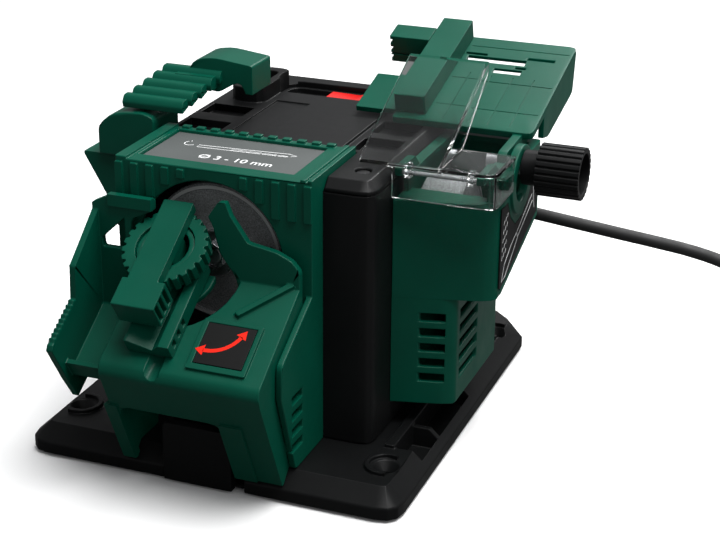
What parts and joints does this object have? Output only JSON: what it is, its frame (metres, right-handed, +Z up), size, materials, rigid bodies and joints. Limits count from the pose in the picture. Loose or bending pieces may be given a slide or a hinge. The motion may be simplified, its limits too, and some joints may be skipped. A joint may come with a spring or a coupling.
{
  "type": "drill bit sharpener",
  "caption": "Bench sharpening station with a drill clamp and grinding wheel in front, a guarded chisel table at the side and a knife guide on the other side.",
  "frame": {"origin": "bottom centre of the machine's box, its mains cord left out, on the surface that it stands on", "axes": "+Z up, +Y away from the user who stands at the drill station, +X towards the chisel station"},
  "size_m": [0.5395, 0.2694, 0.1954],
  "materials": {
    "black_plastic": "satin",
    "green_plastic": "satin",
    "label_grey": "matte",
    "label_black": "satin",
    "red_plastic": "gloss",
    "clear_plastic": "clear gloss",
    "abrasive": "bonded grit",
    "rubber": "matte",
    "steel": "zinc plated",
    "core_steel": "laminated",
    "fan_plastic": "satin",
    "copper": "varnished",
    "brass": "machined"
  },
  "bodies": {
    "frame": {"base_plate": "black_plastic", "rubber_foot_1": "rubber", "rubber_foot_2": "rubber", "rubber_foot_3": "rubber", "rubber_foot_4": "rubber", "motor_housing": "black_plastic", "top_cover": "black_plastic", "cover_screw_1": "steel", "cover_screw_2": "steel", "switch_body": "black_plastic", "front_casing": "green_plastic", "drill_label_plate": "label_grey", "drill_guide_body": "green_plastic", "swivel_label": "label_black", "front_bearing": "steel", "rear_bearing": "steel", "stator": "core_steel", "brush_holder_left": "brass", "brush_holder_right": "brass", "right_bearing": "steel", "left_bearing": "steel", "right_station_body": "green_plastic", "station_label": "label_black", "guard_hinge_pin": "steel", "left_station_body": "green_plastic", "strain_relief": "black_plastic", "cord_lead": "rubber", "cord_coil": "rubber", "cord_tail": "rubber", "mains_plug": "rubber"},
    "drawer": {"swarf_drawer": "black_plastic"},
    "rocker": {"power_rocker": "red_plastic"},
    "drill_holder": {"drill_jaw_lower": "green_plastic"},
    "clamp_nut": {"clamp_ring": "green_plastic"},
    "clamp_jaw": {"drill_jaw_upper": "green_plastic"},
    "main_spindle": {"main_shaft": "steel", "drill_wheel": "abrasive", "wheel_flange": "steel", "wheel_nut": "steel", "bevel_pinion": "steel", "cooling_fan": "fan_plastic", "rotor": "copper", "commutator": "brass"},
    "chisel_spindle": {"right_shaft": "steel", "right_gear": "steel", "chisel_wheel": "abrasive", "chisel_wheel_flange": "steel", "chisel_wheel_nut": "steel"},
    "knife_spindle": {"left_shaft": "steel", "left_gear": "steel", "knife_wheel": "abrasive", "knife_wheel_nut": "steel"},
    "guard": {"clear_guard": "clear_plastic"},
    "table": {"chisel_table": "green_plastic"},
    "fence": {"fence_bar": "green_plastic", "fence_carriage": "green_plastic"},
    "lock": {"lock_knob": "black_plastic", "lock_spindle": "steel"},
    "knife_guide": {"knife_guide_block": "green_plastic", "knife_guide_grip": "green_plastic"}
  },
  "joints": [
    {"name": "drawer_slide", "type": "slide", "parent": "frame", "child": "drawer", "axis": [0, -1, 0], "range_m": [0, 0.09]},
    {"name": "rocker_tilt", "type": "hinge", "parent": "frame", "child": "rocker", "pos_m": [-0.01475, 0.07315, 0.1525], "axis": [0, 1, 0], "range_deg": [0, 8]},
    {"name": "holder_swivel", "type": "hinge", "parent": "frame", "child": "drill_holder", "pos_m": [-0.04775, -0.0838, 0.10585], "axis": [0, -0.5446, 0.8387], "range_deg": [-18, 4]},
    {"name": "clamp_turn", "type": "hinge", "parent": "drill_holder", "child": "clamp_nut", "pos_m": [-0.04775, -0.09197, 0.11843], "axis": [0, -0.5446, 0.8387], "range_deg": [0, 540]},
    {"name": "clamp_lift", "type": "slide", "parent": "drill_holder", "child": "clamp_jaw", "axis": [0, -0.5446, 0.8387], "range_m": [0, 0.006]},
    {"name": "main_spin", "type": "hinge", "parent": "frame", "child": "main_spindle", "pos_m": [-0.03245, -0.06685, 0.113], "axis": [0, 1, 0], "continuous": true},
    {"name": "chisel_spin", "type": "hinge", "parent": "frame", "child": "chisel_spindle", "pos_m": [0.03825, 0.00515, 0.113], "axis": [1, 0, 0], "continuous": true},
    {"name": "knife_spin", "type": "hinge", "parent": "frame", "child": "knife_spindle", "pos_m": [-0.08175, 0.00515, 0.113], "axis": [-1, 0, 0], "continuous": true},
    {"name": "guard_flip", "type": "hinge", "parent": "frame", "child": "guard", "pos_m": [0.06825, -0.03645, 0.1562], "axis": [1, 0, 0], "range_deg": [0, 40]},
    {"name": "table_tilt", "type": "hinge", "parent": "frame", "child": "table", "pos_m": [0.09125, 0.01115, 0.1496], "axis": [1, 0, 0], "range_deg": [0, 18]},
    {"name": "fence_slide", "type": "slide", "parent": "table", "child": "fence", "axis": [1, 0, 0], "range_m": [0, 0.055]},
    {"name": "lock_turn", "type": "hinge", "parent": "frame", "child": "lock", "pos_m": [0.09825, 0.01115, 0.1496], "axis": [1, 0, 0], "range_deg": [-180, 180]},
    {"name": "knife_guide_lift", "type": "slide", "parent": "frame", "child": "knife_guide", "axis": [0, 0, 1], "range_m": [0, 0.03]}
  ],
  "couplings": [
    {"joint": "clamp_lift", "follows": "clamp_turn", "m_per_rad": 0.00063662},
    {"joint": "chisel_spin", "follows": "main_spin", "ratio": -1},
    {"joint": "knife_spin", "follows": "main_spin", "ratio": -1}
  ]
}
